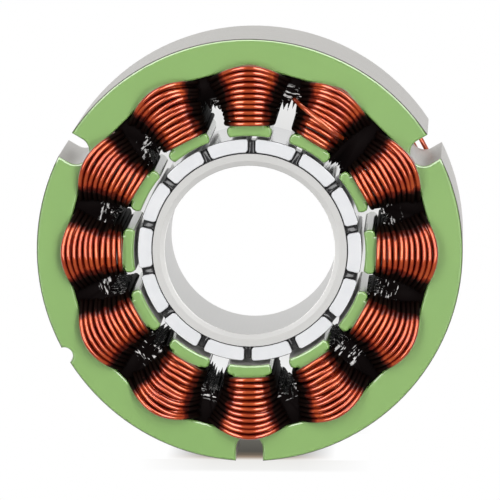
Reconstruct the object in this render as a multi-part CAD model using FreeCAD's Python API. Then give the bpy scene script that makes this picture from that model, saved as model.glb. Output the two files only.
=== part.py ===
import FreeCAD, Part
import math
import os

# Frameless motor in millimetres: a wound stator with a magnet rotor ring in its bore.
# The axis is Z, the front faces +Z, and the origin is on the axis at the middle of the stack.

# Laminated stator core
outer_diameter = 85.0
stator_depth = 19.4
stack_length = 27.0
tooth_count = 12
tooth_width = 5.4
shoe_width = 8.0
shoe_thickness = 1.5
yoke_thickness = 6.15

# Notches in the rim of the core
notch_angles = (30.0, 150.0, 270.0)
notch_width = 5.4
notch_depth = 5.2
index_notch_angle = 210.0
index_notch_width = 3.4
index_notch_depth = 1.4

# Powder coat on the end faces and in the slots
coat_thickness = 0.45
slot_root_radius = 0.8
shoe_corner_radius = 0.7
corner_facets = 2

# Coils, wound in layers round each tooth
wire_diameter = 0.97
most_layers = 5
side_layer_pitch = 1.0
end_layer_pitch = 0.68
coil_to_coil_gap = 1.2
coil_end_slack = 0.1
coil_floor_gap = 0.05
turn_corner = 1.8
turn_ridge = 0.28

# The last turns bow out over the yoke at each end
front_overhang = 2.3
front_overhang_half_width = 7.0
rear_overhang = 0.95
rear_overhang_half_width = 4.6
overhang_facets = 4

# Wires behind the stator, from coil to coil
wire_coil_clearance = 0.7
wire_ring_gap = 0.8
wire_leg_offset = 5.4
wire_crossing_gap = 0.05
wire_chord_angle = 15.0

# Rotor
air_gap = 0.7
magnet_count = 14
magnet_thickness = 2.8
magnet_gap = 1.5
magnet_corner = 0.42
magnet_setback = 1.3
bond_line = 0.2
hub_wall = 2.4
hub_end_margin = 0.3
hub_lead_in_width = 1.0
hub_lead_in_depth = 0.25
rotor_start_angle = -1.0

# Sizes that follow
outer_radius = outer_diameter / 2
bore_radius = outer_radius - stator_depth
stack_half = stack_length / 2
coated_half = stack_half + coat_thickness
tooth_angle = 360.0 / tooth_count
slot_half_angle = math.radians(tooth_angle / 2)
slot_floor = outer_radius - yoke_thickness
coated_tooth_half = tooth_width / 2 + coat_thickness
coil_start = bore_radius + shoe_thickness + coat_thickness
magnet_outer_radius = bore_radius - air_gap
magnet_inner_radius = magnet_outer_radius - magnet_thickness
magnet_length = stack_length - 2 * magnet_setback
hub_outer_radius = magnet_inner_radius - bond_line
hub_bore_radius = hub_outer_radius - hub_wall
hub_length = magnet_length + 2 * hub_end_margin
magnet_angle = 360.0 / magnet_count
cut_margin = 1.0

AXIS = FreeCAD.Vector(0, 0, 1)
ORIGIN = FreeCAD.Vector(0, 0, 0)


def turned(shape, angle):
    copy = shape.copy()
    copy.rotate(ORIGIN, AXIS, angle)
    return copy


def disc(radius, half_height, at=ORIGIN):
    base = FreeCAD.Vector(at.x, at.y, -half_height)
    return Part.makeCylinder(radius, 2 * half_height, base)


def tube(outside, inside, half_height):
    return disc(outside, half_height).cut(disc(inside, half_height + cut_margin))


def prism(wire, half_height):
    face = Part.Face(wire)
    face.translate(FreeCAD.Vector(0, 0, -half_height))
    return face.extrude(FreeCAD.Vector(0, 0, 2 * half_height))


def corner_points(before, corner, after, radius):
    """Points that round one corner of an outline with short flats."""
    to_before = (before - corner).normalize()
    to_after = (after - corner).normalize()
    half_turn = to_before.getAngle(to_after) / 2
    reach = radius / math.tan(half_turn)
    middle = (to_before + to_after).normalize()
    centre = corner + middle * (radius / math.sin(half_turn))
    first = corner + to_before * reach - centre
    last = corner + to_after * reach - centre
    points = []
    for step in range(corner_facets + 1):
        share = step / corner_facets
        points.append(centre + (first * (1 - share) + last * share).normalize() * radius)
    return points


def rounded_outline(corners):
    """A closed outline through (point, radius) pairs, rounded where the radius isn't zero."""
    points = []
    for i, (corner, radius) in enumerate(corners):
        after = corners[(i + 1) % len(corners)][0]
        points += corner_points(corners[i - 1][0], corner, after, radius) if radius > 0 else [corner]
    return Part.makePolygon(points + points[:1])


def tooth_side(along, half_width, side):
    """A point beside a tooth, seen from the slot whose middle line is the X axis."""
    x = along * math.cos(slot_half_angle) + half_width * math.sin(slot_half_angle)
    y = along * math.sin(slot_half_angle) - half_width * math.cos(slot_half_angle)
    return FreeCAD.Vector(x, side * y, 0)


def slot_outline(skin, root_radius, shoe_radius):
    """The outline of one slot, made narrower all round by a skin."""
    tooth_half = tooth_width / 2 + skin
    shoe_half = shoe_width / 2 + skin
    underside = bore_radius + shoe_thickness + skin
    floor = slot_floor - skin
    root = (floor - tooth_half * math.sin(slot_half_angle)) / math.cos(slot_half_angle)
    mouth = math.sqrt(bore_radius**2 - shoe_half**2)
    half = [
        ((root, tooth_half), root_radius),
        ((underside, tooth_half), 0),
        ((underside, shoe_half), shoe_radius),
        ((mouth + shoe_radius, shoe_half), 0),
        ((mouth - cut_margin, shoe_half - shoe_radius - cut_margin), 0),
    ]
    upper = [(tooth_side(*place, 1), radius) for place, radius in half]
    lower = [(tooth_side(*place, -1), radius) for place, radius in half]
    return rounded_outline(upper + lower[::-1])


def u_notch(angle, half_height):
    round_radius = notch_width / 2
    bottom = outer_radius - notch_depth + round_radius
    cutter = disc(round_radius, half_height, FreeCAD.Vector(bottom, 0, 0))
    length = notch_depth + cut_margin
    corner = FreeCAD.Vector(bottom, -round_radius, -half_height)
    cutter = cutter.fuse(Part.makeBox(length, notch_width, 2 * half_height, corner))
    return turned(cutter, angle)


def index_notch(half_height):
    half_mouth = index_notch_width / 2
    radius = (half_mouth**2 + index_notch_depth**2) / (2 * index_notch_depth)
    centre = FreeCAD.Vector(outer_radius - index_notch_depth + radius, 0, 0)
    return turned(disc(radius, half_height, centre), index_notch_angle)


def slotted_ring(skin, half_height, root_radius, shoe_radius):
    """The toothed ring with all its notches, its slot walls covered by a skin."""
    cut_half = half_height + cut_margin
    slot = prism(slot_outline(skin, root_radius, shoe_radius), cut_half)
    cutters = [turned(slot, tooth_angle * (i + 0.5)) for i in range(tooth_count)]
    cutters += [u_notch(angle, cut_half) for angle in notch_angles]
    cutters.append(index_notch(cut_half))
    return tube(outer_radius, bore_radius, half_height).cut(cutters)


def stator_core():
    return slotted_ring(0, stack_half, 0, 0)


def powder_coat():
    """One skin over both faces and the slot walls, bare on the rim, in the notches and in the bore."""
    coated = slotted_ring(coat_thickness, coated_half, slot_root_radius, shoe_corner_radius)
    return coated.cut(stator_core())


def layers_in_row(row):
    """Layers that fit between the tooth and the middle line of the slot."""
    start = coil_start + row * wire_diameter
    limit = start * math.tan(slot_half_angle) - coil_to_coil_gap / 2 / math.cos(slot_half_angle)
    more = int((limit - coated_tooth_half - wire_diameter) / side_layer_pitch)
    return min(most_layers, 1 + max(0, more))


def side_build(layers):
    """How far the wire layers stand off the side of the tooth."""
    return wire_diameter + (layers - 1) * side_layer_pitch


def end_build(layers):
    """How far the wire layers stand off the end face of the tooth."""
    return wire_diameter + (layers - 1) * end_layer_pitch


def coil_rows():
    """Rows that fit between the shoe and the slanted slot floor at the coil's widest layer."""
    widest = coated_tooth_half + side_build(most_layers)
    floor = slot_floor - coat_thickness
    reach = (floor - widest * math.sin(slot_half_angle)) / math.cos(slot_half_angle)
    return int((reach - coil_floor_gap - coil_start) / wire_diameter)


coil_end = coil_start + coil_rows() * wire_diameter
inner_wire_radius = coil_end + rear_overhang + wire_coil_clearance + wire_diameter / 2
outer_wire_radius = inner_wire_radius + wire_diameter + wire_ring_gap


def flat_skinned(rings):
    """A solid through closed rings of points, with a flat face between each pair of edges."""
    outlines = [rings[0], rings[-1]]
    for ring, following in zip(rings, rings[1:]):
        for i in range(len(ring)):
            outlines.append([ring[i - 1], ring[i], following[i], following[i - 1]])
    faces = [Part.Face(Part.makePolygon(points + points[:1])) for points in outlines]
    solid = Part.makeSolid(Part.makeShell(faces))
    if solid.Volume < 0:
        solid.reverse()
    return solid


def turn_outline(x, layers, inset):
    """One turn's outer outline across the coil, with its four corners cut off."""
    half_width = coated_tooth_half + side_build(layers) - inset
    half_height = coated_half + coil_end_slack + end_build(layers) - inset
    flat_width = half_width - turn_corner
    flat_height = half_height - turn_corner
    upper = [(half_width, flat_height), (flat_width, half_height)]
    upper += [(-y, z) for y, z in upper[::-1]]
    lower = [(y, -z) for y, z in upper[::-1]]
    return [FreeCAD.Vector(x, y, z) for y, z in upper + lower]


def ridged_winding():
    """All the turns as one body with a ridge for each row."""
    layers = [layers_in_row(row) for row in range(coil_rows())]
    outlines = [turn_outline(coil_start, layers[0], turn_ridge)]
    for row, count in enumerate(layers):
        following = layers[row + 1] if row + 1 < len(layers) else count
        middle = coil_start + (row + 0.5) * wire_diameter
        outlines.append(turn_outline(middle, count, 0))
        outlines.append(turn_outline(middle + wire_diameter / 2, min(count, following), turn_ridge))
    return flat_skinned(outlines)


def bowed_turns(reach, half, layers):
    """Turns that bow out over the yoke in front of the coated face, flat-sided along their arc."""
    radius = (half**2 + reach**2) / (2 * reach)
    spread = math.asin(min(1.0, half / radius))
    points = [FreeCAD.Vector(coil_end - wire_diameter / 2, -half, coated_half)]
    for step in range(overhang_facets + 1):
        angle = spread * (2 * step / overhang_facets - 1)
        x = coil_end + reach - radius * (1 - math.cos(angle))
        points.append(FreeCAD.Vector(x, radius * math.sin(angle), coated_half))
    points.append(FreeCAD.Vector(coil_end - wire_diameter / 2, half, coated_half))
    face = Part.Face(Part.makePolygon(points + points[:1]))
    return face.extrude(AXIS * end_build(layers))


def coil():
    """One coil, on the tooth along the X axis."""
    parts = []
    for share, layers in ((1, 2), (0.5, 3)):
        parts.append(bowed_turns(front_overhang * share, front_overhang_half_width, layers))
        rear = bowed_turns(rear_overhang * share, rear_overhang_half_width, layers)
        parts.append(rear.mirror(ORIGIN, AXIS))
    winding = ridged_winding().fuse(parts)
    length = coil_end - coil_start + 2 * cut_margin
    corner = FreeCAD.Vector(coil_start - cut_margin, -coated_tooth_half, -coated_half)
    tooth = Part.makeBox(length, 2 * coated_tooth_half, 2 * coated_half, corner)
    return winding.cut(tooth)


def wire_level(level):
    """The height of a wire behind the stator; each level clears the one before."""
    spacing = wire_diameter + wire_crossing_gap
    return -(coated_half + wire_diameter / 2 + level * spacing)


def polar(radius, angle):
    return FreeCAD.Vector(radius * math.cos(angle), radius * math.sin(angle), 0)


def leg(angle, side, radius):
    """The straight end of a wire, from the coil's end out towards its arc."""
    corner = math.sqrt(radius**2 - wire_leg_offset**2) - wire_diameter
    ends = [FreeCAD.Vector(x, side * wire_leg_offset, 0) for x in (coil_end, corner)]
    rotation = FreeCAD.Rotation(AXIS, angle)
    return [rotation.multVec(end) for end in ends]


def arc_points(first, last, radius):
    """Points on an arc between two legs, a wire's width clear of each."""
    start = math.atan2(first.y, first.x)
    span = (math.atan2(last.y, last.x) - start) % (2 * math.pi) - 2 * math.pi
    bend = wire_diameter / radius
    count = math.ceil(-math.degrees(span) / wire_chord_angle)
    step = (span + 2 * bend) / count
    return [polar(radius, start - bend + i * step) for i in range(count + 1)]


def flat_wire(path, level):
    """A six-sided wire along a path in one plane, mitred at each point."""
    sections = []
    corner_radius = wire_diameter / math.sqrt(3)
    for i, point in enumerate(path):
        into = (point - path[max(i - 1, 0)]) if i else path[1] - point
        out = (path[i + 1] - point) if i + 1 < len(path) else into
        into.normalize()
        out.normalize()
        along = (into + out).normalize()
        across = AXIS.cross(along) * (1 / along.dot(into))
        centre = point + AXIS * wire_level(level)
        ring = []
        for k in range(6):
            angle = math.radians(60 * k)
            offset = across * math.cos(angle) + AXIS * math.sin(angle)
            ring.append(centre + offset * corner_radius)
        sections.append(ring)
    return flat_skinned(sections)


def jumper(from_tooth, to_tooth, radius, level):
    """A wire that runs clockwise, seen from the front, from one coil to another."""
    start = leg(from_tooth * tooth_angle, -1, radius)
    end = leg(to_tooth * tooth_angle, 1, radius)
    arc = arc_points(start[1], end[1], radius)
    return flat_wire(start + arc + end[::-1], level)


def star_wire():
    """The wire that joins the ends of the three phases."""
    ring = jumper(10, 6, inner_wire_radius, 0)
    middle = leg(8 * tooth_angle, 1, inner_wire_radius)
    direction = (middle[1] - middle[0]).normalize()
    middle[1] = middle[1] + direction * wire_diameter
    return ring.fuse(flat_wire(middle, 0))


def rotor_hub():
    """The turned ring, with a shallow lead-in at each end of its bore."""
    half = hub_length / 2
    lead_in_radius = hub_bore_radius + hub_lead_in_width
    lead_in_half = half - hub_lead_in_depth
    upper = [(hub_outer_radius, half), (lead_in_radius, half), (hub_bore_radius, lead_in_half)]
    profile = upper + [(radius, -height) for radius, height in upper[::-1]]
    points = [FreeCAD.Vector(radius, 0, height) for radius, height in profile]
    return Part.Face(Part.makePolygon(points + points[:1])).revolve(ORIGIN, AXIS, 360)


def magnet_adhesive():
    return tube(magnet_inner_radius, hub_outer_radius, magnet_length / 2)


def magnet():
    """One arc magnet along the X axis, with an even gap to its neighbours."""
    half_angle = math.radians(magnet_angle / 2)
    apex = FreeCAD.Vector(magnet_gap / 2 / math.sin(half_angle), 0, 0)
    far = magnet_outer_radius + cut_margin
    sides = [apex + polar(far / math.cos(half_angle), side * half_angle) for side in (-1, 1)]
    wedge = prism(Part.makePolygon([apex] + sides + [apex]), magnet_length / 2)
    block = tube(magnet_outer_radius, magnet_inner_radius, magnet_length / 2).common(wedge)
    corners = [e for e in block.Edges if e.BoundBox.ZLength > magnet_length / 2]
    return block.makeChamfer(magnet_corner, corners)


def build():
    nodes = {"stator_core": stator_core(), "powder_coat": powder_coat()}
    one_coil = coil()
    for i in range(tooth_count):
        nodes[f"coil_{i + 1:02d}"] = turned(one_coil, i * tooth_angle)
    nodes["jumper_u"] = jumper(0, 7, inner_wire_radius, 2)
    nodes["jumper_v"] = jumper(2, 9, outer_wire_radius, 1)
    nodes["jumper_w"] = jumper(4, 11, inner_wire_radius, 0)
    nodes["star_wire"] = star_wire()
    nodes["rotor_hub"] = rotor_hub()
    nodes["magnet_adhesive"] = magnet_adhesive()
    one_magnet = magnet()
    for i in range(magnet_count):
        angle = rotor_start_angle + 90 + (i + 0.5) * magnet_angle
        nodes[f"magnet_{i + 1:02d}"] = turned(one_magnet, angle)
    return nodes


os.makedirs("parts", exist_ok=True)
for name, shape in build().items():
    shape.exportStep(f"parts/{name}.step")
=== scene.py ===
import math
import random

import bpy
import bmesh
import numpy as np
from mathutils import Matrix, Vector


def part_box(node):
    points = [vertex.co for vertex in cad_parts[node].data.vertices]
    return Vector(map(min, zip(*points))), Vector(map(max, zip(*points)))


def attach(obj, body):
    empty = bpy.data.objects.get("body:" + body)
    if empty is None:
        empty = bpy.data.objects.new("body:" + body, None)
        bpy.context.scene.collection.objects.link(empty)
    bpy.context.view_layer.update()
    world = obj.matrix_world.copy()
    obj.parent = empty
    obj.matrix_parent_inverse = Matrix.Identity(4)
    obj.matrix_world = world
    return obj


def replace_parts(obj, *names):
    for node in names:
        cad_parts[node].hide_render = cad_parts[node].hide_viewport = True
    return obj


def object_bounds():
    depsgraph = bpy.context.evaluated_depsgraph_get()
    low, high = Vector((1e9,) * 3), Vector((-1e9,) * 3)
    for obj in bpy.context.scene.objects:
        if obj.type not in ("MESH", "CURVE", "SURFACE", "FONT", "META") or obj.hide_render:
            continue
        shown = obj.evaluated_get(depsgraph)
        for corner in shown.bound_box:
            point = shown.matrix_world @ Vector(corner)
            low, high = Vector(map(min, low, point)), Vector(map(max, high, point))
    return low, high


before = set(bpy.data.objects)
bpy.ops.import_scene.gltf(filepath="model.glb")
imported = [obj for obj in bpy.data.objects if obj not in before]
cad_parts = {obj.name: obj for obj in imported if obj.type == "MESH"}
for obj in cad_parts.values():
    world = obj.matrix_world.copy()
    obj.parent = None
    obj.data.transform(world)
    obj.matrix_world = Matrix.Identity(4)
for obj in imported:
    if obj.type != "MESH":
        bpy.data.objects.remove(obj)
cad_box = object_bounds()

# Sizes are in metres. Those of the solids come from the frame
MM = 0.001
core_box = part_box("stator_core")
coat_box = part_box("powder_coat")
glue_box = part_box("magnet_adhesive")
floor_height = cad_box[0][2]
outer_radius = core_box[1].x
coat_face = coat_box[1].z
magnet_inner_radius = glue_box[1].x
magnet_half_length = glue_box[1].z
magnet_outer_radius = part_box("magnet_01")[1].y

# The photograph's side in pixels, the front face's pixels per metre and centre in it, and the camera
PHOTO_SIDE = 500
FRONT_SCALE = 5019.0
FRONT_CENTRE = (249.3, 251.5)
VIEW_DISTANCE = 1.04
TILT_UP = math.radians(8.1)
TILT_RIGHT = math.radians(2.4)
SENSOR = 36.0

# Light: what the stage and the world throw on the object, and the softboxes with their power in watts
STAGE_BOUNCE = 0.42
WORLD_LIGHT = 0.14
SOFTBOX_PLACES = {"left": (-0.6, 0.45, 1.3), "right": (0.5, 0.45, 1.3)}
SOFTBOX_POWER = 12.8
SOFTBOX_WIDTH = 0.52
SOFTBOX_HEIGHT = 1.8
TOP_LIGHT_HEIGHT = 1.0
TOP_LIGHT_WIDTH = 3.0
TOP_LIGHT_DEPTH = 1.6
TOP_LIGHT_POWER = 60.0

# Colours are linear. A Mix node holds its colours in these sockets
WHITE = (1.0, 1.0, 1.0)
MIX_INPUTS = (6, 7)
MIX_OUTPUT = 2

# Shadow on the ground under the rim, by the place along the axis in mm, and on the wall, by the height in
# mm. The widths are where it starts to fade to each side, and where it ends
GROUND_SHADOW = (
    (-17.0, (0.46, 0.41, 0.36)),
    (-14.5, (0.27, 0.27, 0.26)),
    (-11.0, (0.26, 0.26, 0.25)),
    (-10.0, (0.13, 0.125, 0.11)),
    (3.0, (0.09, 0.085, 0.075)),
    (7.0, (0.16, 0.13, 0.10)),
    (9.6, (0.36, 0.28, 0.22)),
    (12.5, (0.80, 0.77, 0.73)),
)
WALL_SHADOW = (
    (-50.6, WHITE),
    (-50.0, (0.88, 0.88, 0.87)),
    (-47.5, (0.82, 0.81, 0.79)),
    (-40.0, (0.82, 0.81, 0.79)),
    (-36.0, WHITE),
)
GROUND_SHADOW_WIDTHS = (6.0 * MM, 17.0 * MM)
WALL_SHADOW_WIDTHS = (9.0 * MM, 24.0 * MM)
WALL_HALF_SIDE = 3.0

# Shade on the wall behind the air gap and the slots, by the distance from the axis in mm
SLOT_SHADE = (
    (18.0, WHITE),
    (20.0, (0.74, 0.74, 0.735)),
    (25.0, (0.80, 0.80, 0.795)),
    (34.0, (0.93, 0.93, 0.93)),
    (37.0, WHITE),
)

# Finish of the wire: copper seen through a clear red enamel
COPPER_DARK = (0.62, 0.068, 0.018)
COPPER_BRIGHT = (0.94, 0.175, 0.038)
COPPER_METALLIC = 0.55
COPPER_ROUGHNESS = 0.18
ENAMEL_WEIGHT = 1.0
ENAMEL_ROUGHNESS = 0.08
ENAMEL_IOR = 1.75

# Coils: the turns of one coil, laid round the tooth on the X axis. The pairs are for the first and the last
# row: its distance from the axis in the slots, in front and behind, and how far out its last turn lies to
# the side and in front
TOOTH_COUNT = 12
TOOTH_ANGLE = 360.0 / TOOTH_COUNT
WIRE_RADIUS = 0.485 * MM
TOOTH_HALF_WIDTH = 3.15 * MM
LAYER_FIRST_ROWS = (0, 0, 1, 4, 8)
ROWS = 11
SLOT_ROWS = (25.6 * MM, 34.25 * MM)
FRONT_ROWS = (25.8 * MM, 37.1 * MM)
REAR_ROWS = (25.5 * MM, 35.2 * MM)
SIDE_REACH = (4.7 * MM, 7.6 * MM)
CROWN_HEIGHT = (1.6 * MM, 3.2 * MM)
TURN_CORNER = 2.2 * MM
CROWN_CURVE = 45.0
CROWN_BULGE = 0.7 * MM
COIL_GAP = 0.1 * MM
COIL_SEED = 100
TUBE_SIDES = 10

# The share of a turn, at each end, over which it passes to the next
PASSING_SHARE = 0.18

# How far from a coil's middle line its first and last rows stay clear of the black varnish and painted
# shade
LIT_HALF_WIDTH = (3.3 * MM, 6.6 * MM)

# Coils, counted from 0, whose turns stray further from their places, and how far turns stray
UNEVEN_COILS = (2, 4, 8, 10)
EVEN_PLAY = 0.1 * MM
UNEVEN_PLAY = 0.17 * MM

# One turn of this coil crosses over the others in front, from a row in the middle to one further in
CROSSED_COIL = 2
CROSSING_ROW = 30.8 * MM
CROSSING_SHIFT = 1.9 * MM
CROSSING_SIDES = (8.6 * MM, -6.0 * MM)
CROSSING_DROP = 18.0 * MM
CROSSING_ROOM = 0.55 * MM
CROSSING_LIFT = 2.6 * WIRE_RADIUS
CROSSING_POINTS = 25

# Painted shade: the coat is painted dark under the coils, where the turns shade it, between these distances
# from the axis
SHADED_COAT_ROWS = (25.8 * MM, 36.2 * MM)

# Black varnish between the coils, which also stands in for the deep shade there: how far in it reaches in
# each slot, in mm from the axis
VARNISH_SHADE_STARTS = (28.4, 25.0, 30.6, 30.6, 27.8, 28.0, 28.0, 26.6, 29.4, 29.8, 25.8, 27.6)
VARNISH_SHADE_END = 35.95 * MM
VARNISH_SHADE_HALF_WIDTH = 2.2 * MM
VARNISH_SHADE_SINK = 0.8 * MM
VARNISH_SHADE_SPIKES = 1.4 * MM
VARNISH_SHADE_PLAY = 0.35 * MM
VARNISH_SHADE_DRIFT = 0.3 * MM
VARNISH_SHADE_CREEP = 2.0 * MM
VARNISH_SHADE_LIMIT = 23.6 * MM
VARNISH_SHADE_COLUMNS = 17
VARNISH_SHADE_ROWS = 15
VARNISH_SHADE_SEED = 500

# Painted glints, pale streaks that stand in for highlights and white seen through between the wires, show
# in the varnish out to here, further out in one slot, and not at all in another
PAINTED_GLINTS_TO = 31.5 * MM
FAR_GLINTS_TO = 34.6 * MM
FAR_GLINT_SLOT = 2
SOLID_SLOT = 1

# Rotor: its bore, the magnets, and the adhesive in the gaps between them
BORE_RADIUS = 17.0 * MM
MAGNET_COUNT = 14
ROTOR_START = -1.0
BEAD_LENGTH = 2.5 * MM
BEAD_HALF_WIDTH = 0.76 * MM
BEAD_FOOT = 0.35 * MM
BEAD_DEPTH = 0.5 * MM
BEAD_FALL = 0.5 * MM
BEAD_SINK = 0.15 * MM
BEAD_LAP = 0.1 * MM
BEAD_ROWS = 12
BEAD_COLUMNS = 13

# Round edges. Faces of the solids are merged where they turn by less than the flat angle, and edges are
# rounded where they turn by more than the sharp one
MERGE_DISTANCE = 0.002 * MM
FACE_TOLERANCE = 0.01 * MM
FLAT_ANGLE = math.radians(0.5)
COAT_EDGE = 0.43 * MM
COAT_EDGE_SEGMENTS = 4
COAT_EDGE_PROFILE = 0.36
MAGNET_EDGE = 0.18 * MM
MAGNET_EDGE_SEGMENTS = 2
SHARP_ANGLE = math.radians(40)
FLAT_NORMAL = 0.999

# Wires behind the stator, in two rings, with a point every few degrees. A leg runs out from a slot beside
# its tooth, and its last points lie this far inside the ring
WIRE_LEG_POINTS = (2.5 * MM, 1.3 * MM)
WIRE_ARC_STEP = 4.0
INNER_WIRE_RADIUS = 37.15 * MM
OUTER_WIRE_RADIUS = 38.9 * MM
WIRE_BEND = 1.5 * MM
WIRE_LEG_OFFSET = 5.4 * MM
WIRE_LEVEL_STEP = 1.02 * MM


def rotation(angle):
    return Matrix.Rotation(math.radians(angle), 4, "Z")


def new_object(name, mesh, body, place=None, flat_ends=False):
    """Add a mesh as a piece that rides on a body."""
    obj = bpy.data.objects.new(name, mesh)
    bpy.context.scene.collection.objects.link(obj)
    if place is not None:
        obj.matrix_world = place
    smooth = [not flat_ends or abs(p.normal.z) < FLAT_NORMAL for p in mesh.polygons]
    mesh.polygons.foreach_set("use_smooth", smooth)
    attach(obj, body)
    return obj


def new_mesh(name, verts, faces, material):
    mesh = bpy.data.meshes.new(name)
    mesh.from_pydata(verts, [], faces)
    mesh.materials.append(material)
    return mesh


def tube_faces(rings, sides):
    """Quads round a stack of closed rings of points, and a cap at each end."""
    faces = []
    for i in range(rings - 1):
        for k in range(sides):
            a = i * sides + k
            b = i * sides + (k + 1) % sides
            faces.append((a, b, b + sides, a + sides))
    faces.append(tuple(range(sides))[::-1])
    faces.append(tuple(range((rings - 1) * sides, rings * sides)))
    return faces


def tube_mesh(name, path, reference, material):
    """A round wire along a path, with flat ends. "crest" is 0 along the reference and 1 square to it."""
    path = np.asarray(path)
    count = len(path)
    tangent = np.gradient(path, axis=0)
    tangent /= np.linalg.norm(tangent, axis=1)[:, None]
    reference = np.asarray(reference, float)
    first = reference - tangent * (tangent @ reference)[:, None]
    first /= np.linalg.norm(first, axis=1)[:, None]
    second = np.cross(tangent, first)
    angles = np.linspace(0, 2 * math.pi, TUBE_SIDES, endpoint=False)
    cosines = np.cos(angles)[None, :, None]
    sines = np.sin(angles)[None, :, None]
    ring = first[:, None] * cosines + second[:, None] * sines
    verts = (path[:, None] + WIRE_RADIUS * ring).reshape(-1, 3)
    mesh = new_mesh(name, verts.tolist(), tube_faces(count, TUBE_SIDES), material)
    crest = mesh.attributes.new("crest", "FLOAT", "POINT")
    crest.data.foreach_set("value", np.tile(np.abs(np.sin(angles)), count))
    return mesh


# Materials


def shader(name):
    """A new material, returned with its node tree and its main shader."""
    mat = bpy.data.materials.new(name)
    mat.use_nodes = True
    tree = mat.node_tree
    return mat, tree, tree.nodes["Principled BSDF"]


def add(tree, kind, **values):
    node = tree.nodes.new(kind)
    for key, value in values.items():
        if key in node.inputs:
            node.inputs[key].default_value = value
        else:
            setattr(node, key, value)
    return node


def noise(tree, place, scale, detail, roughness):
    node = add(tree, "ShaderNodeTexNoise", Scale=scale, Detail=detail, Roughness=roughness)
    tree.links.new(place, node.inputs["Vector"])
    return node.outputs["Fac"]


def noise_along(tree, value, scale, detail):
    """Noise that changes with one number."""
    node = add(tree, "ShaderNodeTexNoise", noise_dimensions="1D", Scale=scale, Detail=detail)
    tree.links.new(value, node.inputs["W"])
    return node.outputs["Fac"]


def object_place(tree):
    return add(tree, "ShaderNodeTexCoord").outputs["Object"]


def separate(tree, place):
    node = add(tree, "ShaderNodeSeparateXYZ")
    tree.links.new(place, node.inputs["Vector"])
    return node.outputs


def stretched(tree, place, factors):
    node = add(tree, "ShaderNodeVectorMath", operation="MULTIPLY")
    tree.links.new(place, node.inputs[0])
    node.inputs[1].default_value = factors
    return node.outputs["Vector"]


def ramp(tree, source, stops):
    """A colour ramp through (position, colour) stops."""
    node = add(tree, "ShaderNodeValToRGB")
    elements = node.color_ramp.elements
    while len(elements) < len(stops):
        elements.new(0.5)
    for element, (position, colour) in zip(elements, stops):
        element.position = position
        element.color = (*colour, 1.0)
    tree.links.new(source, node.inputs["Fac"])
    return node.outputs["Color"]


def ramp_over(tree, place, stops):
    """A colour ramp through (place in mm, colour) stops."""
    low = stops[0][0]
    high = stops[-1][0]
    share = map_range(tree, place, low * MM, high * MM, 0.0, 1.0)
    return ramp(tree, share, [((at - low) / (high - low), colour) for at, colour in stops])


def bump(tree, bsdf, height, distance):
    node = add(tree, "ShaderNodeBump", Distance=distance)
    tree.links.new(height, node.inputs["Height"])
    tree.links.new(node.outputs["Normal"], bsdf.inputs["Normal"])


def map_range(tree, source, low, high, to_low, to_high):
    node = add(tree, "ShaderNodeMapRange")
    node.inputs["From Min"].default_value = low
    node.inputs["From Max"].default_value = high
    node.inputs["To Min"].default_value = to_low
    node.inputs["To Max"].default_value = to_high
    tree.links.new(source, node.inputs["Value"])
    return node.outputs["Result"]


def math_node(tree, operation, *values):
    node = add(tree, "ShaderNodeMath", operation=operation)
    for value, socket in zip(values, node.inputs):
        tree.links.new(value, socket)
    return node.outputs[0]


def multiply(tree, first, second):
    node = add(tree, "ShaderNodeMix", data_type="RGBA", blend_type="MULTIPLY")
    node.inputs["Factor"].default_value = 1.0
    for colour, socket in zip((first, second), MIX_INPUTS):
        tree.links.new(colour, node.inputs[socket])
    return node.outputs[MIX_OUTPUT]


def radial_distance(tree, place):
    length = add(tree, "ShaderNodeVectorMath", operation="LENGTH")
    tree.links.new(stretched(tree, place, (1.0, 1.0, 0.0)), length.inputs[0])
    return length.outputs["Value"]


def powder_green():
    """Green coat, with painted shade under the coils, and a painted dark line along the rim, where it is
    dull.
    """
    mat, tree, bsdf = shader("powder_green")
    place = object_place(tree)
    cloud = noise(tree, place, 45.0, 2.0, 0.5)
    colour = ramp(tree, cloud, [(0.3, (0.186, 0.338, 0.092)), (0.7, (0.198, 0.350, 0.096))])
    radius = radial_distance(tree, place)
    # Painted shade: the coat under the coils is darkened between the given distances from the axis
    under_coils = map_range(tree, radius, *SHADED_COAT_ROWS, 0.0, 1.0)
    dark = (0.06, 0.03, 0.05)
    under_coil_shade = ramp(tree, under_coils, [(0.0, WHITE), (0.05, dark), (0.95, dark), (1.0, WHITE)])
    # Painted shade: a thin dark line along the rounded outer edge of the coat, which also loses its coat
    # gloss there
    rim = map_range(tree, radius, outer_radius - 0.19 * MM, outer_radius - 0.13 * MM, 0.0, 1.0)
    rim_shade = ramp(tree, rim, [(0.0, WHITE), (1.0, (0.16, 0.07, 0.15))])
    tree.links.new(multiply(tree, multiply(tree, colour, under_coil_shade), rim_shade), bsdf.inputs["Base Color"])
    bsdf.inputs["Roughness"].default_value = 0.3
    tree.links.new(map_range(tree, rim, 0.0, 1.0, 1.0, 0.0), bsdf.inputs["Coat Weight"])
    bsdf.inputs["Coat Roughness"].default_value = 0.12
    bsdf.inputs["Coat IOR"].default_value = 1.8
    return mat


def lamination_steel():
    """The ground edges of the sheets, with fine lines round the stack."""
    mat, tree, bsdf = shader("lamination_steel")
    height = separate(tree, object_place(tree))["Z"]
    sheets = noise_along(tree, height, 2800.0, 1.0)
    colour = ramp(tree, sheets, [(0.35, (0.56, 0.54, 0.51)), (0.65, (0.72, 0.71, 0.68))])
    tree.links.new(colour, bsdf.inputs["Base Color"])
    bsdf.inputs["Metallic"].default_value = 0.55
    bsdf.inputs["Roughness"].default_value = 0.42
    bump(tree, bsdf, sheets, 0.06 * MM)
    return mat


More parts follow.
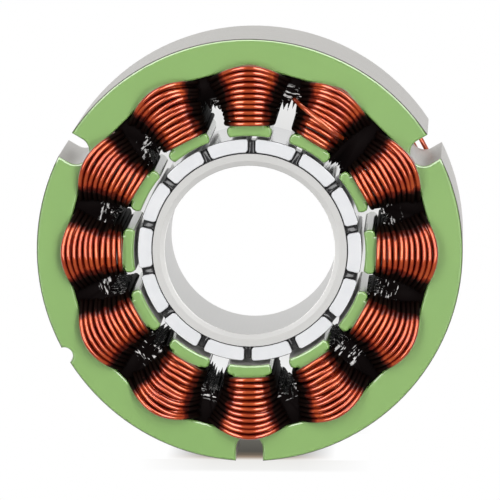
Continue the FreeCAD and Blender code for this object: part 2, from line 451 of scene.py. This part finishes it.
def hub_steel():
    """Turned steel, with fine rings, and smoother in the bore."""
    mat, tree, bsdf = shader("hub_steel")
    radius = radial_distance(tree, object_place(tree))
    rings = noise_along(tree, radius, 9000.0, 2.0)
    colour = ramp(tree, rings, [(0.3, (0.60, 0.595, 0.58)), (0.7, (0.66, 0.655, 0.64))])
    tree.links.new(colour, bsdf.inputs["Base Color"])
    limits = (BORE_RADIUS + 0.05 * MM, BORE_RADIUS + 0.15 * MM)
    tree.links.new(map_range(tree, radius, *limits, 0.3, 0.1), bsdf.inputs["Metallic"])
    tree.links.new(map_range(tree, radius, *limits, 0.28, 0.4), bsdf.inputs["Roughness"])
    bump(tree, bsdf, rings, 0.01 * MM)
    return mat


def magnet_plating():
    """Satin nickel, polished on the side towards the air gap."""
    mat, tree, bsdf = shader("magnet_plating")
    place = object_place(tree)
    cloud = noise(tree, place, 300.0, 3.0, 0.5)
    colour = ramp(tree, cloud, [(0.3, (0.74, 0.75, 0.77)), (0.7, (0.78, 0.785, 0.80))])
    tree.links.new(colour, bsdf.inputs["Base Color"])
    radius = radial_distance(tree, place)
    limits = (magnet_outer_radius - 0.15 * MM, magnet_outer_radius - 0.05 * MM)
    tree.links.new(map_range(tree, radius, *limits, 0.25, 1.0), bsdf.inputs["Metallic"])
    tree.links.new(map_range(tree, radius, *limits, 0.4, 0.12), bsdf.inputs["Roughness"])
    bump(tree, bsdf, noise(tree, place, 2500.0, 2.0, 0.5), 0.01 * MM)
    return mat


def black_adhesive():
    """Cured adhesive, glossy and slightly uneven."""
    mat, tree, bsdf = shader("black_adhesive")
    cloud = noise(tree, object_place(tree), 700.0, 3.0, 0.6)
    colour = ramp(tree, cloud, [(0.3, (0.010, 0.010, 0.011)), (0.7, (0.035, 0.034, 0.036))])
    tree.links.new(colour, bsdf.inputs["Base Color"])
    bsdf.inputs["Roughness"].default_value = 0.15
    bsdf.inputs["Coat Weight"].default_value = 0.5
    bump(tree, bsdf, cloud, 0.08 * MM)
    return mat


def varnish_and_shade(name, glints_to):
    """Black varnish that also stands in for the deep shade in the slots, with painted glints as pale
    streaks as far out as given, placed differently in each slot.
    """
    mat, tree, bsdf = shader(name)
    place = object_place(tree)
    settings = {"Scale": 2000.0, "Detail": 2.0, "Roughness": 0.6}
    glint_noise = add(tree, "ShaderNodeTexNoise", noise_dimensions="4D", **settings)
    tree.links.new(stretched(tree, place, (1.0, 0.22, 0.4)), glint_noise.inputs["Vector"])
    tree.links.new(add(tree, "ShaderNodeObjectInfo").outputs["Random"], glint_noise.inputs["W"])
    # Painted glints: pale streaks for highlights and for white seen through between the wires
    glint_streak = map_range(tree, glint_noise.outputs["Fac"], 0.58, 0.61, 0.0, 1.0)
    inner = map_range(tree, radial_distance(tree, place), glints_to - MM, glints_to, 1.0, 0.0)
    glint = math_node(tree, "MULTIPLY", glint_streak, inner)
    colour = ramp(tree, glint, [(0.0, (0.006, 0.004, 0.004)), (1.0, (0.75, 0.73, 0.72))])
    tree.links.new(colour, bsdf.inputs["Base Color"])
    bsdf.inputs["Roughness"].default_value = 0.6
    bsdf.inputs["Specular IOR Level"].default_value = 0.02
    return mat


def shade_between_turns(tree, colour):
    """The colour of a turn with painted shade, darker towards its neighbours in the hollows between turns.
    """
    crest = add(tree, "ShaderNodeAttribute", attribute_name="crest").outputs["Fac"]
    # Painted shade: dark red where a turn meets its neighbours, low on the crest attribute
    stops = [(0.35, (0.25, 0.06, 0.08)), (0.7, (0.62, 0.38, 0.36)), (0.96, WHITE)]
    return multiply(tree, colour, ramp(tree, crest, stops))


def copper_tone(tree, place):
    return ramp(tree, noise(tree, place, 160.0, 3.0, 0.55), [(0.3, COPPER_DARK), (0.7, COPPER_BRIGHT)])


def wire_enamel():
    """Red enamel over copper, for wires that lie on their own."""
    mat, tree, bsdf = shader("wire_enamel")
    tree.links.new(copper_tone(tree, object_place(tree)), bsdf.inputs["Base Color"])
    bsdf.inputs["Metallic"].default_value = COPPER_METALLIC
    bsdf.inputs["Roughness"].default_value = COPPER_ROUGHNESS
    bsdf.inputs["Coat Weight"].default_value = ENAMEL_WEIGHT
    bsdf.inputs["Coat Roughness"].default_value = ENAMEL_ROUGHNESS
    bsdf.inputs["Coat IOR"].default_value = ENAMEL_IOR
    return mat


def bare_and_unshaded_share(tree, place):
    """1 where the turns of a coil lie bare in front or behind, 0 where they are painted black, for varnish
    and for the shade down in the slots.
    """
    axes = separate(tree, place)
    across = math_node(tree, "ABSOLUTE", axes["Y"])
    height = math_node(tree, "ABSOLUTE", axes["Z"])
    outward = map_range(tree, axes["X"], *FRONT_ROWS, 0.0, 1.0)
    squared = math_node(tree, "MULTIPLY", outward, outward)
    lit = map_range(tree, squared, 0.0, 1.0, *LIT_HALF_WIDTH)
    beyond = math_node(tree, "SUBTRACT", across, lit)
    ragged = map_range(tree, noise(tree, place, 700.0, 3.0, 0.6), 0.3, 0.7, -0.6 * MM, 0.6 * MM)
    edge = math_node(tree, "ADD", beyond, ragged)
    inside = map_range(tree, edge, -1.5 * MM, 1.0 * MM, 1.0, 0.0)
    above = map_range(tree, height, coat_face - 0.4 * MM, coat_face + 0.6 * MM, 0.0, 1.0)
    return math_node(tree, "MULTIPLY", inside, above)


def copper_enamel():
    """Red enamel over copper on the coils, painted black where the turns go down into the slots, for
    varnish and for shade.
    """
    mat, tree, bsdf = shader("copper_enamel")
    place = object_place(tree)
    bright = shade_between_turns(tree, copper_tone(tree, place))
    shown = bare_and_unshaded_share(tree, place)
    # Painted shade and varnish: the turns fade to black, dull and without enamel gloss, where they go down
    # into the slots
    ends = ramp(tree, shown, [(0.1, (0.01, 0.03, 0.09)), (0.5, (0.24, 0.14, 0.14)), (0.85, WHITE)])
    tree.links.new(multiply(tree, bright, ends), bsdf.inputs["Base Color"])
    tree.links.new(map_range(tree, shown, 0.0, 1.0, 0.0, COPPER_METALLIC), bsdf.inputs["Metallic"])
    bsdf.inputs["Specular IOR Level"].default_value = 0.05
    tree.links.new(map_range(tree, shown, 0.0, 1.0, 0.6, COPPER_ROUGHNESS), bsdf.inputs["Roughness"])
    tree.links.new(map_range(tree, shown, 0.0, 1.0, 0.0, ENAMEL_WEIGHT), bsdf.inputs["Coat Weight"])
    bsdf.inputs["Coat Roughness"].default_value = ENAMEL_ROUGHNESS
    bsdf.inputs["Coat IOR"].default_value = ENAMEL_IOR
    return mat


def glow_to_camera(tree, bsdf):
    """Full glow to the camera and in reflections, less in what lights the object, and none from behind."""
    rays = add(tree, "ShaderNodeLightPath")
    seen = math_node(tree, "MAXIMUM", rays.outputs["Is Camera Ray"], rays.outputs["Is Glossy Ray"])
    tree.links.new(map_range(tree, seen, 0.0, 1.0, STAGE_BOUNCE, 1.0), bsdf.inputs["Emission Strength"])
    bsdf.inputs["Base Color"].default_value = (0.0, 0.0, 0.0, 1.0)
    bsdf.inputs["Roughness"].default_value = 1.0
    bsdf.inputs["Specular IOR Level"].default_value = 0.0
    clear = add(tree, "ShaderNodeBsdfTransparent")
    one_sided = add(tree, "ShaderNodeMixShader")
    tree.links.new(add(tree, "ShaderNodeNewGeometry").outputs["Backfacing"], one_sided.inputs["Fac"])
    tree.links.new(bsdf.outputs["BSDF"], one_sided.inputs[1])
    tree.links.new(clear.outputs["BSDF"], one_sided.inputs[2])
    tree.links.new(one_sided.outputs["Shader"], tree.nodes["Material Output"].inputs["Surface"])


def stage_white(name, axis, stops, widths, ring=None):
    """White, with a shadow along one axis that fades aside, and a ring of shade if given."""
    mat, tree, bsdf = shader(name)
    place = object_place(tree)
    axes = separate(tree, place)
    shadow = ramp_over(tree, axes[axis], stops)
    aside = math_node(tree, "ABSOLUTE", axes["X"])
    fade = map_range(tree, aside, *widths, 0.0, 1.0)
    mix = add(tree, "ShaderNodeMix", data_type="RGBA")
    tree.links.new(fade, mix.inputs["Factor"])
    tree.links.new(shadow, mix.inputs[MIX_INPUTS[0]])
    mix.inputs[MIX_INPUTS[1]].default_value = (*WHITE, 1.0)
    glow = mix.outputs[MIX_OUTPUT]
    if ring is not None:
        glow = multiply(tree, glow, ramp_over(tree, radial_distance(tree, place), ring))
    tree.links.new(glow, bsdf.inputs["Emission Color"])
    glow_to_camera(tree, bsdf)
    return mat


# Coils


def smooth_step(value):
    value = min(1.0, max(0.0, value))
    return value * value * (3 - 2 * value)


def along(ends, share):
    return ends[0] + (ends[1] - ends[0]) * share


def crown_top(share):
    """The height of the outermost turn of a row, in front of the coat."""
    return coat_face + along(CROWN_HEIGHT, share**0.8)


def turn_plan():
    """Row and layer of each turn in winding order, out along one layer and back along the next."""
    plan = []
    for layer, first in enumerate(LAYER_FIRST_ROWS):
        rows = list(range(first, ROWS))
        plan += [(row, layer) for row in (rows if layer % 2 == 0 else rows[::-1])]
    return plan


def turn_sizes(row, layer, draw, play, room):
    """Where one turn lies: half width, crown height, and its row in the slot, in front and behind."""
    share = row / (ROWS - 1)
    last_layer = sum(1 for first in LAYER_FIRST_ROWS if first <= row) - 1
    level = layer / last_layer
    first_side = TOOTH_HALF_WIDTH + WIRE_RADIUS
    first_height = coat_face + WIRE_RADIUS + COIL_GAP
    side = along((first_side, along(SIDE_REACH, share**1.5)), level)
    height = along((first_height, crown_top(share) - room), level)
    return np.array([
        share,
        side - draw.uniform(0, play),
        height - draw.uniform(0, play),
        along(SLOT_ROWS, share),
        along(FRONT_ROWS, share) + draw.uniform(-play, play),
        along(REAR_ROWS, share) + draw.uniform(-play, play),
        draw.uniform(-2, 2) * play,
    ])


def outline_samples():
    """Samples round one turn from the middle of the rear: its part, and the place on that part."""
    corner = [math.radians(a) for a in range(0, 91, 15)]
    half = [0.0, 0.25, 0.5, 0.75]
    samples = [("end", -1, 1, s, 0.0) for s in half]
    samples += [("end", -1, 1, 1.0, a) for a in corner]
    samples += [("side", 0, 1, s, 0.0) for s in (-0.3, 0.3)]
    samples += [("end", 1, 1, 1.0, a) for a in corner[::-1]]
    samples += [("end", 1, 1, s, 0.0) for s in half[::-1]]
    samples += [("end", 1, -1, s, 0.0) for s in half[1:]]
    samples += [("end", 1, -1, 1.0, a) for a in corner]
    samples += [("side", 0, -1, s, 0.0) for s in (0.3, -0.3)]
    samples += [("end", -1, -1, 1.0, a) for a in corner[::-1]]
    samples += [("end", -1, -1, s, 0.0) for s in half[:0:-1]]
    return samples


SAMPLES = outline_samples()


def turn_point(sample, size):
    """One point of a turn as (radial, across, axial)."""
    part, end, side, share, angle = sample
    progress, half_width, crown, slot_row, front_row, rear_row, slant = size
    flat = half_width - TURN_CORNER
    if part == "side":
        return slot_row + slant * side, side * half_width, share * crown
    bulge = CROWN_BULGE * progress**2 * math.sin(2 * angle)
    across = share * flat + TURN_CORNER * math.sin(angle) + bulge
    height = crown - CROWN_CURVE * across**2 - TURN_CORNER * (1 - math.cos(angle))
    row = front_row if end > 0 else rear_row
    shift = min(1.0, across / half_width)
    bow = (row - slot_row) * (1 - shift ** (4 - 2 * progress))
    return slot_row + bow + slant * side * shift, side * across, end * height


def coil_path(seed, play, room):
    """The whole wire of one coil as one path, each turn passing to the next behind the stator."""
    draw = random.Random(seed)
    sizes = [turn_sizes(row, layer, draw, play, room) for row, layer in turn_plan()]
    path = []
    for i, size in enumerate(sizes):
        before = sizes[max(i - 1, 0)]
        after = sizes[min(i + 1, len(sizes) - 1)]
        for k, sample in enumerate(SAMPLES):
            place = k / len(SAMPLES)
            to_before = smooth_step((PASSING_SHARE - place) / (2 * PASSING_SHARE))
            to_after = smooth_step((place + PASSING_SHARE - 1) / (2 * PASSING_SHARE))
            passing = (before - size) * to_before + (after - size) * to_after
            path.append(turn_point(sample, size + passing))
    return np.array(path)


def make_coil(index, material):
    play = UNEVEN_PLAY if index in UNEVEN_COILS else EVEN_PLAY
    name = f"coil_turns_{index + 1:02d}"
    room = CROSSING_ROOM if index == CROSSED_COIL else 0.0
    mesh = tube_mesh(name, coil_path(COIL_SEED + index, play, room), (1, 0, 0), material)
    obj = new_object(name, mesh, "stator", rotation(index * TOOTH_ANGLE))
    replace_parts(obj, f"coil_{index + 1:02d}")


def make_crossing(material):
    """The turn that crosses over the others in front of one coil."""
    path = []
    for t in np.linspace(0, 1, CROSSING_POINTS):
        x = CROSSING_ROW - CROSSING_SHIFT * t**1.5
        y = along(CROSSING_SIDES, t)
        share = (x - FRONT_ROWS[0]) / (FRONT_ROWS[1] - FRONT_ROWS[0])
        top = crown_top(share) - CROSSING_ROOM + CROSSING_LIFT
        end = max(0.0, abs(2 * t - 1) - 0.5)
        path.append((x, y, top - CROWN_CURVE * y**2 - CROSSING_DROP * end**2))
    mesh = tube_mesh("crossing_turn", path, (1, 0, 0), material)
    new_object("crossing_turn", mesh, "stator", rotation(CROSSED_COIL * TOOTH_ANGLE))


def make_varnish_and_shade(index, material):
    """The ragged black mass of varnish, also standing in for the deep shade, that joins two coils in the
    outer part of a slot.
    """
    draw = random.Random(VARNISH_SHADE_SEED + index)
    reach = coat_face - VARNISH_SHADE_SINK
    columns = np.linspace(-1, 1, VARNISH_SHADE_COLUMNS)
    spikes = [draw.uniform(-VARNISH_SHADE_SPIKES, VARNISH_SHADE_SPIKES) for t in columns]
    rings = []
    for height in np.linspace(-reach, reach, VARNISH_SHADE_ROWS):
        ring = [(VARNISH_SHADE_END, -VARNISH_SHADE_HALF_WIDTH, height)]
        for t, spike in zip(columns, spikes):
            start = VARNISH_SHADE_STARTS[index] * MM - VARNISH_SHADE_CREEP * abs(t) ** 3
            start += spike + draw.uniform(-VARNISH_SHADE_PLAY, VARNISH_SHADE_PLAY)
            drift = draw.uniform(-VARNISH_SHADE_DRIFT, VARNISH_SHADE_DRIFT)
            ring.append((max(start, VARNISH_SHADE_LIMIT), t * VARNISH_SHADE_HALF_WIDTH, height + drift))
        ring.append((VARNISH_SHADE_END, VARNISH_SHADE_HALF_WIDTH, height))
        rings.append(ring)
    verts = [point for ring in rings for point in ring]
    name = f"slot_varnish_{index + 1:02d}"
    mesh = new_mesh(name, verts, tube_faces(len(rings), len(rings[0])), material)
    new_object(name, mesh, "stator", rotation((index + 0.5) * TOOTH_ANGLE))


# Coat, magnets and adhesive. The coat and the magnets keep their solids' form and get round edges


def dress(mesh, material):
    mesh.materials.clear()
    mesh.materials.append(material)


def rounded_copy(node, name, material, chosen, width, segments, profile=0.5):
    """A copy of a solid's mesh, with the chosen edges rounded."""
    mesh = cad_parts[node].data.copy()
    mesh.name = name
    dress(mesh, material)
    shape = bmesh.new()
    shape.from_mesh(mesh)
    bmesh.ops.remove_doubles(shape, verts=shape.verts, dist=MERGE_DISTANCE)
    bmesh.ops.dissolve_limit(shape, angle_limit=FLAT_ANGLE, verts=shape.verts, edges=shape.edges)
    edges = [e for e in shape.edges if e.is_manifold and chosen(e)]
    rounding = {"offset": width, "offset_type": "OFFSET", "segments": segments, "profile": profile}
    bmesh.ops.bevel(shape, geom=edges, affect="EDGES", clamp_overlap=False, **rounding)
    shape.to_mesh(mesh)
    shape.free()
    return mesh


def even_shading(obj):
    modifier = obj.modifiers.new("normals", "WEIGHTED_NORMAL")
    modifier.keep_sharp = False


def is_sharp(edge):
    return edge.calc_face_angle(0) > SHARP_ANGLE


def is_coat_brink(edge):
    """An edge of the coat where an end face turns down into a slot, a notch or the bore."""
    heights = [abs(abs(v.co.z) - coat_face) for v in edge.verts]
    return max(heights) < FACE_TOLERANCE and is_sharp(edge)


def make_coat(material):
    name = "coat_rounded"
    rounding = (COAT_EDGE, COAT_EDGE_SEGMENTS, COAT_EDGE_PROFILE)
    mesh = rounded_copy("powder_coat", name, material, is_coat_brink, *rounding)
    coat = new_object(name, mesh, "stator", flat_ends=True)
    even_shading(coat)
    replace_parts(coat, "powder_coat")
    return coat


def make_magnet(index, material):
    node = f"magnet_{index + 1:02d}"
    name = node + "_rounded"
    mesh = rounded_copy(node, name, material, is_sharp, MAGNET_EDGE, MAGNET_EDGE_SEGMENTS)
    obj = new_object(name, mesh, "rotor")
    even_shading(obj)
    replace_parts(obj, node)


def adhesive_bead(index, material):
    """The black adhesive in one gap between magnets, drawn up along their sides."""
    middle = rotation(ROTOR_START + 90 + index * 360.0 / MAGNET_COUNT)
    verts = []
    for along_gap in np.linspace(0, 1, BEAD_ROWS):
        radius = magnet_inner_radius - BEAD_LAP + along_gap * BEAD_LENGTH
        half = BEAD_HALF_WIDTH + BEAD_FOOT * (1 - along_gap) ** 6
        for t in np.linspace(-1, 1, BEAD_COLUMNS):
            sink = BEAD_SINK + BEAD_DEPTH * (1 - t**4) + BEAD_FALL * along_gap**2
            verts.append(middle @ Vector((radius, t * half, magnet_half_length - sink)))
    faces = []
    for i in range(BEAD_ROWS - 1):
        for k in range(BEAD_COLUMNS - 1):
            a = i * BEAD_COLUMNS + k
            faces.append((a, a + 1, a + 1 + BEAD_COLUMNS, a + BEAD_COLUMNS))
    name = f"adhesive_bead_{index + 1:02d}"
    new_object(name, new_mesh(name, verts, faces, material), "rotor")


# Wires behind the stator


def polar(radius, angle):
    return Vector((radius * math.cos(angle), radius * math.sin(angle), 0))


def wire_path(from_tooth, to_tooth, radius, level):
    """Clockwise from one coil to another behind the stator, with rounded bends."""
    pitch = 2 * math.pi / TOOTH_COUNT
    offset = math.asin(WIRE_LEG_OFFSET / radius)
    start = from_tooth * pitch - offset
    end = to_tooth * pitch + offset
    span = (end - start) % (2 * math.pi) - 2 * math.pi
    bend = WIRE_BEND / radius
    places = [SLOT_ROWS[1]] + [radius - inset for inset in WIRE_LEG_POINTS]
    inner = [Vector((x, -WIRE_LEG_OFFSET, 0)) for x in places]
    outer = [Vector((p.x, WIRE_LEG_OFFSET, 0)) for p in inner]
    first = Matrix.Rotation(from_tooth * pitch, 3, "Z")
    last = Matrix.Rotation(to_tooth * pitch, 3, "Z")
    count = max(2, int(-math.degrees(span) / WIRE_ARC_STEP))
    arc = [polar(radius, start - bend + (span + 2 * bend) * i / count) for i in range(count + 1)]
    path = [first @ p for p in inner] + arc + [last @ p for p in outer[::-1]]
    height = -(coat_face + WIRE_RADIUS + level * WIRE_LEVEL_STEP)
    return [Vector((p.x, p.y, height)) for p in path]


def round_wire(name, path, material):
    mesh = tube_mesh(name, path, (0, 0, 1), material)
    return new_object(name, mesh, "stator")


def make_wires(material):
    routes = {
        "jumper_u": (0, 7, INNER_WIRE_RADIUS, 2),
        "jumper_v": (2, 9, OUTER_WIRE_RADIUS, 1),
        "jumper_w": (4, 11, INNER_WIRE_RADIUS, 0),
        "star_wire": (10, 6, INNER_WIRE_RADIUS, 0),
    }
    for name, route in routes.items():
        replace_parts(round_wire(name + "_round", wire_path(*route), material), name)
    leg = wire_path(8, 7, INNER_WIRE_RADIUS, 0)
    turn = rotation(2 * math.degrees(math.asin(WIRE_LEG_OFFSET / INNER_WIRE_RADIUS)))
    round_wire("star_middle", [turn @ p for p in leg[:3]], material)


# Light, floor and camera


def area_light(name, size, power, place, turn):
    data = bpy.data.lights.new(name, "AREA")
    data.shape = "RECTANGLE"
    data.size, data.size_y = size
    data.energy = power
    obj = bpy.data.objects.new(name, data)
    bpy.context.scene.collection.objects.link(obj)
    obj.location = place
    obj.rotation_euler = turn
    return obj


def make_softboxes():
    for name, place in SOFTBOX_PLACES.items():
        turn = (0, math.atan2(place[0], place[2]), 0)
        area_light(name, (SOFTBOX_WIDTH, SOFTBOX_HEIGHT), SOFTBOX_POWER, place, turn)


def make_top_light(coat):
    """A softbox above that the coat alone reflects."""
    place = (0, TOP_LIGHT_HEIGHT, TOP_LIGHT_DEPTH / 2)
    size = (TOP_LIGHT_WIDTH, TOP_LIGHT_DEPTH)
    light = area_light("top", size, TOP_LIGHT_POWER, place, (math.radians(-90), 0, 0))
    light.visible_diffuse = False
    receivers = bpy.data.collections.new("lit_from_above")
    receivers.objects.link(coat)
    light.light_linking.receiver_collection = receivers


def make_world():
    """White to the camera, and dim in what lights the object."""
    world = bpy.data.worlds.new("studio")
    world.use_nodes = True
    tree = world.node_tree
    background = tree.nodes["Background"]
    background.inputs["Color"].default_value = (*WHITE, 1.0)
    seen = add(tree, "ShaderNodeLightPath").outputs["Is Camera Ray"]
    tree.links.new(map_range(tree, seen, 0.0, 1.0, WORLD_LIGHT, 1.0), background.inputs["Strength"])
    bpy.context.scene.world = world


def stage_plane(name, corners, place, material):
    obj = bpy.data.objects.new(name, new_mesh(name, corners, [(0, 1, 2, 3)], material))
    obj.location = place
    obj.visible_shadow = False
    bpy.context.scene.collection.objects.link(obj)


def make_stage():
    """A wall behind the motor, and the ground that its rim stands on."""
    side = WALL_HALF_SIDE
    wall = [(-side, -side, 0), (side, -side, 0), (side, side, 0), (-side, side, 0)]
    white = stage_white("wall_white", "Y", WALL_SHADOW, WALL_SHADOW_WIDTHS, SLOT_SHADE)
    stage_plane("wall", wall, (0, 0, floor_height), white)
    width = WALL_SHADOW_WIDTHS[1]
    front = GROUND_SHADOW[-1][0] * MM
    ground = [(-width, 0, floor_height), (-width, 0, front), (width, 0, front), (width, 0, floor_height)]
    white = stage_white("ground_white", "Z", GROUND_SHADOW, GROUND_SHADOW_WIDTHS)
    stage_plane("ground", ground, (0, cad_box[0][1], 0), white)


def make_camera():
    """Set the camera so that the front face has its measured place, size and tilt in the photograph."""
    back = Vector((math.tan(TILT_RIGHT), math.tan(TILT_UP), 1.0)).normalized()
    up = (Vector((0, 1, 0)) - back * back.y).normalized()
    right = up.cross(back)
    middle = PHOTO_SIDE / 2
    aim = Vector((0, 0, coat_face))
    aim += right * ((middle - FRONT_CENTRE[0]) / FRONT_SCALE)
    aim += up * ((FRONT_CENTRE[1] - middle) / FRONT_SCALE)
    data = bpy.data.cameras.new("camera")
    data.sensor_width = SENSOR
    data.lens = FRONT_SCALE * VIEW_DISTANCE * SENSOR / PHOTO_SIDE
    data.clip_start = 0.01
    camera = bpy.data.objects.new("camera", data)
    bpy.context.scene.collection.objects.link(camera)
    turn = Matrix((right, up, back)).transposed().to_4x4()
    camera.matrix_world = Matrix.Translation(aim + back * VIEW_DISTANCE) @ turn
    bpy.context.scene.camera = camera


def make_coils():
    copper = copper_enamel()
    for i in range(TOOTH_COUNT):
        make_coil(i, copper)


def make_slot_varnish_and_shade():
    # Black masses in the slots: varnish, and a dark fill standing in for the shade between the coils
    glinting = varnish_and_shade("varnish_shade_glints", PAINTED_GLINTS_TO)
    special = {
        SOLID_SLOT: varnish_and_shade("varnish_and_shade", 0.0),
        FAR_GLINT_SLOT: varnish_and_shade("varnish_shade_far_glints", FAR_GLINTS_TO),
    }
    for i in range(TOOTH_COUNT):
        make_varnish_and_shade(i, special.get(i, glinting))


def make_rotor():
    dress(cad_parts["rotor_hub"].data, hub_steel())
    plating = magnet_plating()
    for i in range(MAGNET_COUNT):
        make_magnet(i, plating)
    glue = black_adhesive()
    dress(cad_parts["magnet_adhesive"].data, glue)
    for i in range(MAGNET_COUNT):
        adhesive_bead(i, glue)


def main():
    dress(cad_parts["stator_core"].data, lamination_steel())
    make_coils()
    coat = make_coat(powder_green())
    make_rotor()
    enamel = wire_enamel()
    make_wires(enamel)
    make_crossing(enamel)
    make_slot_varnish_and_shade()
    make_stage()
    make_world()
    make_softboxes()
    make_top_light(coat)
    bpy.context.scene.view_settings.view_transform = "Standard"
    make_camera()


main()
